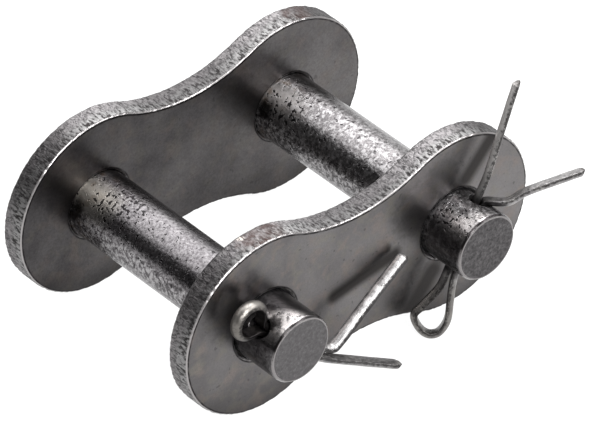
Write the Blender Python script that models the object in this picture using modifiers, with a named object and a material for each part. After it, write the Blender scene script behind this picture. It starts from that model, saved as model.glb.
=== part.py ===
"""Roller chain connecting link: riveted pins, a slip-on cover plate and two split cotters.

Metres, +Z up.  The link stands on the edges of its two plates.  X runs along the
pitch, the pins run along Y, and the cover plate faces -Y.  The origin is on the
outer face of the rear plate, midway between the two pins.
"""
import math

import bmesh
import bpy
from mathutils import Matrix, Vector

MM = 0.001

# Plates, blanked from strip
PITCH = 31.75 * MM
PLATE_THICKNESS = 3.5 * MM
PLATE_GAP = 29.15 * MM
LOBE_RADIUS = 13.25 * MM
WAIST_HEIGHT = 19.3 * MM
PLATE_EDGE_ROUND = 0.35 * MM

# Pins, turned bar with a staked head behind the rear plate
PIN_DIAMETER = 9.66 * MM
PIN_REACH = 6.75 * MM
PIN_CHAMFER = 0.22 * MM
PIN_CHAMFER_LENGTH = 0.35 * MM
HEAD_FLARE = 0.45 * MM
HEAD_HEIGHT = 1.3 * MM
HEAD_CHAMFER = 0.45 * MM
STAKE_RADIUS = 2.2 * MM
STAKE_DEPTH = 0.5 * MM

# Cross holes for the cotters
COTTER_SETBACK = 2.9 * MM
HOLE_FLARE = 0.45 * MM
LEFT_HOLE_ANGLE = math.radians(-42)
RIGHT_HOLE_ANGLE = math.radians(62)

# Split cotters, folded from half-round wire
WIRE_WIDTH = 1.9 * MM
WIRE_THICKNESS = 0.95 * MM
WIRE_TIP = 0.6
MOUTH_DEPTH = 0.3 * MM
BEND_UNIT = 1.0 * MM
LEFT_COTTER_TURN = 0.0
RIGHT_COTTER_TURN = math.radians(-45)

# Clearances between the pieces
PRESS_CLEARANCE = 0.2 * MM
SLIP_CLEARANCE = 0.25 * MM
LEG_CLEARANCE = 0.2 * MM
COTTER_CLEARANCE = 0.25 * MM

# Fineness of the round shapes
LOBE_STEPS = 32
WAIST_STEPS = 12
HOLE_STEPS = 48
PIN_STEPS = 56
CUTTER_STEPS = 24
WIRE_STEPS = 8
WIRE_STRIDE = 0.55 * MM

# Places that follow from the sizes
PIN_RADIUS = PIN_DIAMETER / 2
COVER_FACE_Y = -(2 * PLATE_THICKNESS + PLATE_GAP)
PIN_END_Y = COVER_FACE_Y - PIN_REACH
COTTER_Y = COVER_FACE_Y - COTTER_SETBACK
SHANK_RADIUS = max(LEG_CLEARANCE / 2 + WIRE_THICKNESS, math.hypot(WIRE_WIDTH, LEG_CLEARANCE) / 2)
COTTER_HOLE_RADIUS = SHANK_RADIUS + COTTER_CLEARANCE

# Bends of the cotters, point by point, counted in bend units: how far beyond the
# pin's surface, how far to the side of the shank, and how far across the wire
LEFT_LONG_LEG = [
    (0.7, 0.0, 0.0), (3.2, 0.1, 0.2), (5.1, 0.6, 0.6), (6.0, 2.2, 0.6), (8.6, 8.4, -0.4), (11.5, 15.2, -1.4)]
LEFT_SHORT_LEG = [(0.7, 0.0, 0.1), (3.4, -0.1, 1.0), (9.0, 1.5, 2.5), (15.0, 3.35, 4.1)]
RIGHT_LONG_LEG = [(0.7, 0.0, 0.0), (4.0, 0.0, 0.1), (9.5, 0.5, 0.1), (16.8, 1.1, 0.1)]
RIGHT_SHORT_LEG = [
    (0.5, -0.4, 0.0), (1.05, -2.1, 0.0), (1.6, -3.2, -0.1), (3.3, -4.7, -0.6), (5.6, -7.75, -1.7),
    (7.85, -11.1, -3.3)]
RIGHT_EYE = [
    (0.4, 0.1, 0.0), (3.2, 0.25, 0.1), (6.4, 1.5, 0.4), (7.6, 1.95, 0.5), (8.5, 1.2, 0.7), (9.0, 0.2, 0.8),
    (8.9, -0.6, 0.8), (8.3, -1.2, 0.7), (6.8, -1.45, 0.5), (4.5, -0.9, 0.3), (2.3, -0.35, 0.1), (0.4, -0.1, 0.0)]
LEFT_EYE_CENTRE = 2.6
LEFT_EYE_SIDE = 0.3
LEFT_EYE_RADIUS = 1.9


def clear_scene():
    for thing in list(bpy.data.objects):
        bpy.data.objects.remove(thing, do_unlink=True)


def make_collection(name):
    collection = bpy.data.collections.new(name)
    bpy.context.scene.collection.children.link(collection)
    return collection


def make_material(name, colour, roughness):
    material = bpy.data.materials.new(name)
    material.use_nodes = True
    shader = material.node_tree.nodes["Principled BSDF"]
    shader.inputs["Base Color"].default_value = (*colour, 1.0)
    shader.inputs["Roughness"].default_value = roughness
    shader.inputs["Metallic"].default_value = 1.0
    return material


def add_object(name, data, collection, material=None):
    thing = bpy.data.objects.new(name, data)
    collection.objects.link(thing)
    if material is not None:
        data.materials.clear()
        data.materials.append(material)
    return thing


def as_mesh(curve_object, name, collection, material):
    """Turn a curve into a welded mesh object that stands where the curve stood."""
    bpy.context.view_layer.update()
    graph = bpy.context.evaluated_depsgraph_get()
    mesh = bpy.data.meshes.new_from_object(curve_object.evaluated_get(graph))
    shape = bmesh.new()
    shape.from_mesh(mesh)
    bmesh.ops.remove_doubles(shape, verts=shape.verts, dist=1e-7)
    bmesh.ops.recalc_face_normals(shape, faces=shape.faces)
    shape.to_mesh(mesh)
    shape.free()
    thing = add_object(name, mesh, collection, material)
    thing.matrix_world = curve_object.matrix_world.copy()
    bpy.data.objects.remove(curve_object, do_unlink=True)
    return thing


def shade(thing, sharp_angle):
    thing.data.shade_smooth()
    thing.data.set_sharp_from_angle(angle=math.radians(sharp_angle))


def arc(centre, radius, start, end, steps):
    """Points of an arc in the XY plane, from one angle to the other."""
    span = [start + (end - start) * i / steps for i in range(steps + 1)]
    return [(centre[0] + radius * math.cos(t), centre[1] + radius * math.sin(t)) for t in span]


def add_outline(curve, points):
    """Add one closed outline to a flat curve."""
    spline = curve.splines.new("POLY")
    spline.points.add(len(points) - 1)
    for target, (x, y) in zip(spline.points, points):
        target.co = (x, y, 0.0, 1.0)
    spline.use_cyclic_u = True


def plate_outline():
    """Two lobes round the pins, joined by two hollow arcs that run smoothly into both lobes."""
    half_pitch = PITCH / 2
    half_waist = WAIST_HEIGHT / 2
    waist_radius = (half_pitch ** 2 + half_waist ** 2 - LOBE_RADIUS ** 2) / (2 * (LOBE_RADIUS - half_waist))
    waist_centre = half_waist + waist_radius
    lean = math.atan2(half_pitch, waist_centre)
    touch = math.pi / 2 + lean
    right_lobe = arc((half_pitch, 0), LOBE_RADIUS, -touch, touch, LOBE_STEPS)
    top_waist = arc((0, waist_centre), waist_radius, lean - math.pi / 2, -lean - math.pi / 2, WAIST_STEPS)
    left_lobe = [(-x, -y) for x, y in right_lobe]
    bottom_waist = [(-x, -y) for x, y in top_waist]
    return right_lobe[:-1] + top_waist[:-1] + left_lobe[:-1] + bottom_waist[:-1]


def make_plate(name, middle_y, hole_radius, collection, material):
    """Extrude the outline and its two holes, with all the rims rolled over as blanking leaves them."""
    curve = bpy.data.curves.new(name, "CURVE")
    curve.dimensions = "2D"
    curve.fill_mode = "BOTH"
    curve.extrude = PLATE_THICKNESS / 2 - PLATE_EDGE_ROUND
    curve.bevel_depth = PLATE_EDGE_ROUND
    curve.bevel_resolution = 1
    curve.offset = -PLATE_EDGE_ROUND
    add_outline(curve, plate_outline())
    for side in (-1, 1):
        hole = arc((side * PITCH / 2, 0), hole_radius, 0, -2 * math.pi, HOLE_STEPS)
        add_outline(curve, hole[:-1])
    flat = add_object(name + "_outline", curve, collection)
    flat.matrix_world = Matrix.Translation((0, middle_y, 0)) @ Matrix.Rotation(math.pi / 2, 4, "X")
    plate = as_mesh(flat, name, collection, material)
    shade(plate, 35)
    return plate


def turned(name, profile, steps, collection, material=None):
    """A solid of revolution: (radius, height) points from top to bottom, spun about Z."""
    mesh = bpy.data.meshes.new(name)
    points = [(radius, 0.0, height) for radius, height in profile]
    edges = [(i, i + 1) for i in range(len(points) - 1)]
    mesh.from_pydata(points, edges, [])
    thing = add_object(name, mesh, collection, material)
    spin = thing.modifiers.new("Spin", "SCREW")
    spin.axis = "Z"
    spin.steps = steps
    spin.render_steps = steps
    spin.use_merge_vertices = True
    spin.merge_threshold = 1e-6
    return thing


def cut(thing, cutter):
    cutter.hide_render = True
    cutter.display_type = "WIRE"
    boolean = thing.modifiers.new("Cut " + cutter.name, "BOOLEAN")
    boolean.operation = "DIFFERENCE"
    boolean.solver = "EXACT"
    boolean.object = cutter


def pin_profile():
    """Free end at the top, staked head at the bottom; height zero is the rear plate's outer face."""
    free_end = -PIN_END_Y
    head_seat = -PRESS_CLEARANCE
    head_end = head_seat - HEAD_HEIGHT
    head_radius = PIN_RADIUS + HEAD_FLARE
    stake_floor = head_end + STAKE_DEPTH
    return [
        (0, free_end),
        (PIN_RADIUS - PIN_CHAMFER, free_end),
        (PIN_RADIUS, free_end - PIN_CHAMFER_LENGTH),
        (PIN_RADIUS, 0),
        (head_radius, head_seat - HEAD_CHAMFER / 2),
        (head_radius, head_end + HEAD_CHAMFER),
        (head_radius - HEAD_CHAMFER, head_end),
        (STAKE_RADIUS, head_end),
        (STAKE_RADIUS - STAKE_DEPTH, stake_floor),
        (0, stake_floor),
    ]


def hole_profile():
    """Cross hole through a pin, opened out at both mouths."""
    throat = PIN_RADIUS - HOLE_FLARE
    far = PIN_RADIUS + HOLE_FLARE
    wide = COTTER_HOLE_RADIUS + 2 * HOLE_FLARE
    return [
        (0, far),
        (wide, far),
        (COTTER_HOLE_RADIUS, throat),
        (COTTER_HOLE_RADIUS, -throat),
        (wide, -far),
        (0, -far),
    ]


def shank_place(x, angle, turn):
    """Place of a cotter: X runs along its shank, Y from one leg to the other, Z across the wire."""
    along = Vector((math.cos(angle), 0, math.sin(angle)))
    across = Vector((-math.sin(angle), 0, math.cos(angle)))
    outward = Vector((0, -1, 0))
    apart = across * math.cos(turn) + outward * math.sin(turn)
    wire_axis = along.cross(apart)
    axes = Matrix((along, apart, wire_axis)).transposed().to_4x4()
    return Matrix.Translation((x, COTTER_Y, 0)) @ axes


def make_pin(name, x, hole_angle, collection, cutters, material):
    pin = turned(name, pin_profile(), PIN_STEPS, collection, material)
    pin.matrix_world = Matrix.Translation((x, 0, 0)) @ Matrix.Rotation(math.pi / 2, 4, "X")
    hole = turned(name + "_cross_hole", hole_profile(), CUTTER_STEPS, cutters)
    hole.matrix_world = shank_place(x, hole_angle, 0) @ Matrix.Rotation(math.pi / 2, 4, "Y")
    cut(pin, hole)
    return pin


def smooth_path(points, stride):
    """A smooth curve through the points, read at near-even strides."""
    ends = [2 * points[0] - points[1]] + points + [2 * points[-1] - points[-2]]
    path = [points[0]]
    for before, start, end, after in zip(ends, ends[1:], ends[2:], ends[3:]):
        count = max(1, round((end - start).length / stride))
        for i in range(1, count + 1):
            t = i / count
            cubic = (3 * (start - end) + after - before) * t ** 3
            square = (2 * before - 5 * start + 4 * end - after) * t ** 2
            path.append(start + ((end - before) * t + square + cubic) / 2)
    return path


def round_eye():
    """An eye left as it was wound: most of a circle, open towards the pin."""
    turns = [math.radians(t) for t in range(40, 321, 28)]
    return [
        (LEFT_EYE_CENTRE - LEFT_EYE_RADIUS * math.cos(t), LEFT_EYE_SIDE + LEFT_EYE_RADIUS * math.sin(t), 0.0)
        for t in turns]


def wire_section(collection):
    """Half-round section: the flat lies on the path and the back bulges away from it."""
    curve = bpy.data.curves.new("wire_section", "CURVE")
    curve.dimensions = "2D"
    back = arc((0, 0), 1.0, -math.pi / 2, math.pi / 2, WIRE_STEPS)
    add_outline(curve, [(x * WIRE_THICKNESS, y * WIRE_WIDTH / 2) for x, y in back])
    return add_object("wire_section", curve, collection)


def bend_point(beyond, side, across, end, strand):
    """A point of the wire: past one end of the hole, on one of the two strands."""
    along = end * (PIN_RADIUS + beyond * BEND_UNIT)
    return Vector((along, strand * LEG_CLEARANCE / 2 + side * BEND_UNIT, across * BEND_UNIT))


def cotter_path(long_leg, eye, short_leg):
    """From the long leg's tip through the pin, round the eye, and back to the short leg's tip."""
    reach = PIN_RADIUS - MOUTH_DEPTH
    half_gap = LEG_CLEARANCE / 2
    points = [bend_point(*bend, 1, 1) for bend in reversed(long_leg)]
    points += [Vector((reach * step, half_gap, 0)) for step in (1, 0, -1)]
    points += [bend_point(*bend, -1, 0) for bend in eye]
    points += [Vector((reach * step, -half_gap, 0)) for step in (-1, 0, 1)]
    points += [bend_point(*bend, 1, -1) for bend in short_leg]
    return smooth_path(points, WIRE_STRIDE)


def make_cotter(name, place, path, section, collection, material):
    curve = bpy.data.curves.new(name, "CURVE")
    curve.dimensions = "3D"
    curve.twist_mode = "Z_UP"
    curve.bevel_mode = "OBJECT"
    curve.bevel_object = section
    curve.use_fill_caps = True
    spline = curve.splines.new("POLY")
    spline.points.add(len(path) - 1)
    for target, point in zip(spline.points, path):
        target.co = (*point, 1.0)
    for tip in (spline.points[0], spline.points[-1]):
        tip.radius = WIRE_TIP
    wire = add_object(name + "_path", curve, collection)
    wire.matrix_world = place
    cotter = as_mesh(wire, name, collection, material)
    shade(cotter, 50)
    return cotter


def build():
    clear_scene()
    parts = make_collection("connecting_link")
    cutters = make_collection("cutters")
    plate_steel = make_material("blanked_steel", (0.14, 0.135, 0.13), 0.5)
    pin_steel = make_material("turned_steel", (0.26, 0.25, 0.25), 0.35)
    wire_steel = make_material("drawn_wire", (0.3, 0.3, 0.29), 0.4)

    rear_middle = -PLATE_THICKNESS / 2
    cover_middle = COVER_FACE_Y + PLATE_THICKNESS / 2
    make_plate("rear_plate", rear_middle, PIN_RADIUS + PRESS_CLEARANCE, parts, plate_steel)
    make_plate("cover_plate", cover_middle, PIN_RADIUS + SLIP_CLEARANCE, parts, plate_steel)

    left_x = -PITCH / 2
    right_x = PITCH / 2
    make_pin("left_pin", left_x, LEFT_HOLE_ANGLE, parts, cutters, pin_steel)
    make_pin("right_pin", right_x, RIGHT_HOLE_ANGLE, parts, cutters, pin_steel)

    section = wire_section(cutters)
    left_place = shank_place(left_x, LEFT_HOLE_ANGLE, LEFT_COTTER_TURN)
    left_path = cotter_path(LEFT_LONG_LEG, round_eye(), LEFT_SHORT_LEG)
    make_cotter("left_cotter", left_place, left_path, section, parts, wire_steel)
    right_place = shank_place(right_x, RIGHT_HOLE_ANGLE, RIGHT_COTTER_TURN)
    right_path = cotter_path(RIGHT_LONG_LEG, RIGHT_EYE, RIGHT_SHORT_LEG)
    make_cotter("right_cotter", right_place, right_path, section, parts, wire_steel)
    bpy.data.objects.remove(section, do_unlink=True)


build()
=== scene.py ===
# %% [markdown]
# # A roller chain connecting link, photographed on a pale table
#
# This is the link that closes a roller chain: two waisted steel plates, two pins staked
# into the rear plate, and two split cotters that keep the slip-on cover plate from coming
# off. The frame that is loaded first holds every piece at its real size and place. This
# script makes a finer skin for each piece, gives it its finish, and lights it.

# %% Load the frame
import math
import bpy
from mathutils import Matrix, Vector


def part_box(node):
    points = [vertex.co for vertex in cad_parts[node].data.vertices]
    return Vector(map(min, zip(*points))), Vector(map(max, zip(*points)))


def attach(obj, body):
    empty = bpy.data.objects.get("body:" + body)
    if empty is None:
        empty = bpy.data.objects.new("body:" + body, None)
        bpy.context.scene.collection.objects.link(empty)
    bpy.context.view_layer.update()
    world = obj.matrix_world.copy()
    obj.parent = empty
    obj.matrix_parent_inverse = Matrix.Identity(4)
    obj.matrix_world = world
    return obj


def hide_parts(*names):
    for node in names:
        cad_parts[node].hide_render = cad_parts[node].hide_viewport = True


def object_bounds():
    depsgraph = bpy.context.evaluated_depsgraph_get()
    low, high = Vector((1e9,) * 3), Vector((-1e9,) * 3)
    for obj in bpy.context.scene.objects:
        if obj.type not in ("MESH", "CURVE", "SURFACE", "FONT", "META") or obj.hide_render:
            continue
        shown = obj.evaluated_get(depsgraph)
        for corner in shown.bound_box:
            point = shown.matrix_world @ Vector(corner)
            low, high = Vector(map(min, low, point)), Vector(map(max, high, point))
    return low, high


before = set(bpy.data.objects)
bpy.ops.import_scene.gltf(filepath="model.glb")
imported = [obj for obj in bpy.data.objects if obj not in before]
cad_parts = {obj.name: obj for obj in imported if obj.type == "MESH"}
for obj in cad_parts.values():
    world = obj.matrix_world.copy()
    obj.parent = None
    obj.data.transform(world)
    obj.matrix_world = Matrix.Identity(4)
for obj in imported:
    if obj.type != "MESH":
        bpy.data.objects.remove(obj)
from types import SimpleNamespace

import bmesh
import bpy
from mathutils import Matrix, Vector

MM = 0.001
bpy.context.scene.view_settings.view_transform = "Standard"
cad_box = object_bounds()
print("pieces in the frame:", ", ".join(sorted(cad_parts)))

# %% [markdown]
# ## Sizes
#
# The plates' boxes already say how long, how high and how thick they are, so the pitch
# and the lobes follow from them. Only what a box can't tell is written out: the height
# of the waist, the pins and the wire.

# %% Sizes read from the frame
rear_low, rear_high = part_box("rear_plate")
cover_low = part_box("cover_plate")[0]
pin_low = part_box("left_pin")[0]
PLATE_THICKNESS = rear_high.y - rear_low.y
LOBE_RADIUS = (rear_high.z - rear_low.z) / 2
PITCH = (rear_high.x - rear_low.x) - 2 * LOBE_RADIUS
COVER_FACE_Y = cover_low.y
PIN_END_Y = pin_low.y
FLOOR_Z = cad_box[0].z
print(f"pitch {PITCH / MM:.2f} mm, plates {PLATE_THICKNESS / MM:.2f} mm thick")

# %% Sizes that a box can't tell
WAIST_HEIGHT = 19.3 * MM
PLATE_EDGE_ROUND = 0.35 * MM
PIN_RADIUS = 4.83 * MM
SLIP_CLEARANCE = 0.25 * MM
PRESS_CLEARANCE = 0.2 * MM
COTTER_Y = COVER_FACE_Y - 2.9 * MM
WIRE_WIDTH = 1.9 * MM
WIRE_THICKNESS = 0.95 * MM
LEG_CLEARANCE = 0.2 * MM
LEFT_HOLE_ANGLE = math.radians(-42)
RIGHT_HOLE_ANGLE = math.radians(62)
RIGHT_COTTER_TURN = math.radians(-45)
WELD = 0.002 * MM
print(f"pins {2 * PIN_RADIUS / MM:.2f} mm, wire {WIRE_WIDTH / MM:.2f} x {WIRE_THICKNESS / MM:.2f} mm")

# %% [markdown]
# ## Helpers for every tree
#
# All trees below, for shapes and for finishes, are built from nodes in the same way, so
# one function adds a node, sets what it is told to, and links what it is given.
#
# Most of the sums in them ask where on the piece something lies. A soft step answers that:
# it takes a value, and says where it starts and where it is full. Steps that are multiplied
# leave only the place that they share.


# %% Add a node with its settings and links
def add(tree, kind, inputs=None, **settings):
    node = tree.nodes.new(kind)
    for name, value in settings.items():
        setattr(node, name, value)
    for name, value in (inputs or {}).items():
        if isinstance(value, bpy.types.NodeSocket):
            tree.links.new(value, node.inputs[name])
        else:
            node.inputs[name].default_value = value
    return node


# %% Fold values and soft steps into one
def combine(tree, operation, *values):
    """A value is a number, a socket, or a soft step: (socket, start, end, from what, to what)."""
    total = None
    for value in values:
        if isinstance(value, tuple):
            source, start, end, *limits = value
            low, high = limits or (0.0, 1.0)
            value = add(tree, "ShaderNodeMapRange", {
                "Value": source, "From Min": start, "From Max": end,
                "To Min": low, "To Max": high}).outputs[0]
        if total is None:
            total = value
        else:
            total = add(tree, "ShaderNodeMath", {0: total, 1: value}, operation=operation).outputs[0]
    return total


def where(tree, *steps):
    """The place that all these steps share."""
    return combine(tree, "MULTIPLY", *steps)


# %% [markdown]
# ## Helpers for shapes
#
# A shape tree gets its sizes as named inputs, which keeps the recipe apart from the
# numbers. It can write values on the corners of what it makes, and the finishes read them
# later. At the end it is run once and turned into a plain mesh.


# %% Start a shape tree, work in it, and close it
def shape_tree(name, sizes):
    tree = bpy.data.node_groups.new(name, "GeometryNodeTree")
    tree.interface.new_socket("Geometry", in_out="INPUT", socket_type="NodeSocketGeometry")
    for label, kind in sizes.items():
        tree.interface.new_socket(label, in_out="INPUT", socket_type="NodeSocket" + kind)
    tree.interface.new_socket("Geometry", in_out="OUTPUT", socket_type="NodeSocketGeometry")
    return tree, tree.nodes.new("NodeGroupInput").outputs


def read_corners(tree):
    """The place of every corner, by X, Y and Z."""
    return add(tree, "ShaderNodeSeparateXYZ", {0: add(tree, "GeometryNodeInputPosition").outputs[0]}).outputs


def write_on(tree, geometry, **values):
    """Write values on the corners, for the finishes to read."""
    for name, value in values.items():
        geometry = add(tree, "GeometryNodeStoreNamedAttribute", {
            "Geometry": geometry, "Name": name, "Value": value}).outputs[0]
    return geometry


def push_out(tree, geometry, distance):
    """Move every corner along its normal."""
    normal = add(tree, "GeometryNodeInputNormal").outputs[0]
    offset = add(tree, "ShaderNodeVectorMath", {0: normal, "Scale": distance}, operation="SCALE").outputs[0]
    return add(tree, "GeometryNodeSetPosition", {"Geometry": geometry, "Offset": offset}).outputs[0]


def close_tree(tree, geometry, material):
    real = add(tree, "GeometryNodeRealizeInstances", {"Geometry": geometry})
    painted = add(tree, "GeometryNodeSetMaterial", {"Geometry": real.outputs[0], "Material": material})
    add(tree, "NodeGroupOutput", {"Geometry": painted.outputs[0]})


# %% Run a shape tree
def run_tree(name, source, tree, values):
    """Give the source its sizes, turn the result into a plain mesh, and drop the source."""
    sockets = {item.name: item.identifier for item in tree.interface.items_tree if item.in_out == "INPUT"}
    modifier = source.modifiers.new(tree.name, "NODES")
    modifier.node_group = tree
    for label, value in values.items():
        modifier[sockets[label]] = value
    bpy.context.view_layer.update()
    graph = bpy.context.evaluated_depsgraph_get()
    mesh = bpy.data.meshes.new_from_object(source.evaluated_get(graph))
    mesh.transform(source.matrix_world)
    piece = bpy.data.objects.new(name, mesh)
    bpy.context.scene.collection.objects.link(piece)
    bpy.data.objects.remove(source, do_unlink=True)
    triangles = sum(len(face.vertices) - 2 for face in mesh.polygons)
    print(f"{name}: {len(mesh.vertices)} corners, {triangles} triangles")
    return piece


def smooth_under(piece, degrees):
    """Shade a piece smooth, and keep the edges sharp that turn by more than this."""
    piece.data.shade_smooth()
    piece.data.set_sharp_from_angle(angle=math.radians(degrees))


# %% [markdown]
# ## Helpers for finishes
#
# The colours are written as the eye names them, in sRGB hex, and one function turns them
# into the linear values that light adds up in. A finish is then laid up as a painter would
# do it: a ground, and coats over it, each with its colour and its place. What breaks the
# coats up is noise, and each pattern is given the real size of its marks in millimetres.


# %% Hex to linear, and the scale of a pattern
def colour(code):
    channels = [int(code[i:i + 2], 16) / 255 for i in (1, 3, 5)]
    linear = [c / 12.92 if c <= 0.04045 else ((c + 0.055) / 1.055) ** 2.4 for c in channels]
    return (*linear, 1.0)


def marks(size_mm):
    """Texture scale for marks that lie about this many millimetres apart."""
    return 1 / (size_mm * MM)


print("a grey that looks half bright gives this much light:", round(colour("#808080")[0], 3))

# %% Lay coats over a ground
# The Mix node numbers its sockets: what is under, what is over, and the result
MIX_SOCKETS = {"RGBA": (6, 7, 2), "FLOAT": (2, 3, 0)}


def lay(tree, ground, *coats, kind="RGBA"):
    """Lay coats of colour, or of a number. Each names what it is, then the steps of its place."""
    under, over, result = MIX_SOCKETS[kind]
    for coat, *steps in coats:
        coat, blend = coat if isinstance(coat, tuple) else (coat, "MIX")
        layers = {0: where(tree, *steps), under: ground, over: coat}
        layers = {key: colour(value) if isinstance(value, str) else value for key, value in layers.items()}
        ground = add(tree, "ShaderNodeMix", layers, data_type=kind, blend_type=blend).outputs[result]
    return ground


# %% Start a finish, read where it is, make its patterns, and close it
def new_finish(name, metallic):
    material = bpy.data.materials.new(name)
    material.use_nodes = True
    tree = material.node_tree
    shader = tree.nodes["Principled BSDF"]
    shader.inputs["Metallic"].default_value = metallic
    return material, tree, shader


def read_place(tree, *written):
    """The place on the link, how far it is from the nearer pin's axis, and values on the corners."""
    place = add(tree, "ShaderNodeTexCoord").outputs["Object"]
    x, y, z = add(tree, "ShaderNodeSeparateXYZ", {0: place}).outputs
    side = add(tree, "ShaderNodeMath", {0: x}, operation="SIGN").outputs[0]
    right_of = combine(tree, "SUBTRACT", x, where(tree, side, PITCH / 2))
    spoke = add(tree, "ShaderNodeCombineXYZ", {"X": right_of, "Z": z}).outputs[0]
    out = add(tree, "ShaderNodeVectorMath", {0: spoke}, operation="LENGTH").outputs["Value"]
    values = {name: add(tree, "ShaderNodeAttribute", attribute_name=name).outputs["Fac"] for name in written}
    return SimpleNamespace(place=place, x=x, y=y, z=z, right_of=right_of, out=out, **values)


def patterns(tree, place, **wanted):
    """Noise by name: the size of its marks in millimetres, its settings, and its stretch."""
    made = {}
    for name, (size_mm, settings, *stretch) in wanted.items():
        source = place
        if stretch:
            source = add(tree, "ShaderNodeMapping", {"Vector": place, "Scale": stretch[0]}).outputs[0]
        made[name] = add(tree, "ShaderNodeTexNoise", {
            "Vector": source, "Scale": marks(size_mm), **settings}).outputs[0]
    return SimpleNamespace(**made)


def close_finish(tree, shader, base, roughness, *relief):
    """Link colour, roughness and relief: height, strength, and depth, which below zero goes inwards."""
    lower = {}
    for height, strength, depth_mm in relief:
        bump = add(tree, "ShaderNodeBump", {
            "Height": height, "Strength": strength, "Distance": abs(depth_mm) * MM, **lower},
            invert=depth_mm < 0)
        lower = {"Normal": bump.outputs[0]}
    for label, value in {"Base Color": base, "Roughness": roughness, **lower}.items():
        tree.links.new(value, shader.inputs[label])


# %% Soft spots and streaks round points of the link, in millimetres
SPOT_SHAKE = 0.9
SPOT_CORE = 0.4
STREAK_CORE = 0.2


def fade(tree, away, reach_mm, core):
    """Nothing at the reach, and full at the core's share of it."""
    return add(tree, "ShaderNodeMapRange", {
        "Value": away, "From Min": reach_mm * MM, "From Max": reach_mm * MM * core},
        interpolation_type="SMOOTHSTEP").outputs[0]


def soft_spot(tree, place, centre, reach_mm):
    """A spot with a ragged edge: noise shakes the place before its distance is taken."""
    shaken = add(tree, "ShaderNodeTexNoise", {"Vector": place, "Scale": marks(SPOT_SHAKE)}).outputs["Color"]
    for operation, inputs in (
            ("SUBTRACT", {1: (0.5, 0.5, 0.5)}), ("SCALE", {"Scale": reach_mm * MM}), ("ADD", {1: place})):
        shaken = add(tree, "ShaderNodeVectorMath", {0: shaken, **inputs}, operation=operation).outputs[0]
    away = add(tree, "ShaderNodeVectorMath", {0: shaken, 1: Vector(centre) * MM}, operation="DISTANCE")
    return fade(tree, away.outputs["Value"], reach_mm, SPOT_CORE)


def soft_streak(tree, place, start, end, reach_mm):
    """A streak along a line: the distance is taken from the nearest point of the line."""
    first = Vector(start) * MM
    line = Vector(end) * MM - first
    offset = add(tree, "ShaderNodeVectorMath", {0: place, 1: first}, operation="SUBTRACT").outputs[0]
    along = add(tree, "ShaderNodeVectorMath", {0: offset, 1: line.normalized()}, operation="DOT_PRODUCT")
    share = where(tree, (along.outputs["Value"], 0.0, line.length))
    nearest = add(tree, "ShaderNodeVectorMath", {0: line, "Scale": share}, operation="SCALE").outputs[0]
    away = add(tree, "ShaderNodeVectorMath", {0: offset, 1: nearest}, operation="DISTANCE")
    return fade(tree, away.outputs["Value"], reach_mm, STREAK_CORE)


def all_of(tree, place, shape, *rows):
    """Several spots or streaks as one place."""
    return combine(tree, "MAXIMUM", *[shape(tree, place, *row) for row in rows])


# %% [markdown]
# ## Curves to build on
#
# A plate and a wire are both things that follow a line, so the lines come first. They are
# made in a loop from a formula, and a geometry tree then sweeps a section along them.


# %% Draw lines as curve objects
def arc(centre, radius, start, end, steps):
    span = [start + (end - start) * i / steps for i in range(steps + 1)]
    return [(centre[0] + radius * math.cos(t), centre[1] + radius * math.sin(t), 0) for t in span]


def draw(name, lines, closed):
    curve = bpy.data.curves.new(name, "CURVE")
    curve.dimensions = "3D"
    for points in lines:
        spline = curve.splines.new("POLY")
        spline.points.add(len(points) - 1)
        for target, point in zip(spline.points, points):
            target.co = (*point, 1.0)
        spline.use_cyclic_u = closed
    thing = bpy.data.objects.new(name, curve)
    bpy.context.scene.collection.objects.link(thing)
    return thing


# %% The outline of a plate
LOBE_STEPS = 240
WAIST_STEPS = 60
HOLE_STEPS = 180


def plate_lines(hole_radius):
    """Outline of two lobes and a waist, counter-clockwise, and the two holes, clockwise."""
    half_pitch = PITCH / 2
    half_waist = WAIST_HEIGHT / 2
    deeper = LOBE_RADIUS - half_waist
    waist_radius = (half_pitch ** 2 + half_waist ** 2 - LOBE_RADIUS ** 2) / (2 * deeper)
    waist_centre = half_waist + waist_radius
    lean = math.atan2(half_pitch, waist_centre)
    touch = math.pi / 2 + lean
    lobe = arc((half_pitch, 0), LOBE_RADIUS, -touch, touch, LOBE_STEPS)[:-1]
    waist = arc((0, waist_centre), waist_radius, lean - math.pi / 2, -lean - math.pi / 2, WAIST_STEPS)[:-1]
    half = lobe + waist
    holes = [arc((x, 0), hole_radius, 0, -2 * math.pi, HOLE_STEPS)[:-1] for x in (-half_pitch, half_pitch)]
    return [half + [(-x, -y, z) for x, y, z in half]] + holes


print("outline of", len(plate_lines(PIN_RADIUS)[0]), "points")

# %% [markdown]
# ## The finish of the plates
#
# Outer plates are blanked from strip, tumbled to take the burr off, and blackened in an
# oil bath. To the eye the faces are a dull satin grey that drifts slowly from darker to
# lighter, with a fine grain and faint tints of olive and brown, stronger on the cover. The
# drift also makes them lighter towards the right, which is painted light. Painted dark
# reflections and shade lie round the pins' feet, painted shadows of the wires lie beside
# them, and painted shade darkens the lower edges and the rear plate between the pins.
#
# The blanked edge is another surface altogether. The punch shears the first part smooth
# and tears the rest, so it is streaky from face to face, pitted, and rough. Rust has
# started on it in two places. Between face and edge runs a bright line, where the rounding
# has been worn bare, with a painted highlight on it, and beside it a dark line of dirt and
# painted shade. Painted shade also darkens the edge on its shoulders and at its waist.
#
# Face and edge are laid up apart, and a value on the corners says how far round the
# rounding a point lies, so the two meet at the real edge from all sides. The real grain is
# finer than 0.1 mm. It is drawn 0.28 mm coarse, because less wouldn't show.


# %% The flat faces: cloudy satin, and the oil on it
COVER_Y_MM = -36.1
REAR_Y_MM = -3.5
LINK_DRIFT_MM = 180


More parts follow.
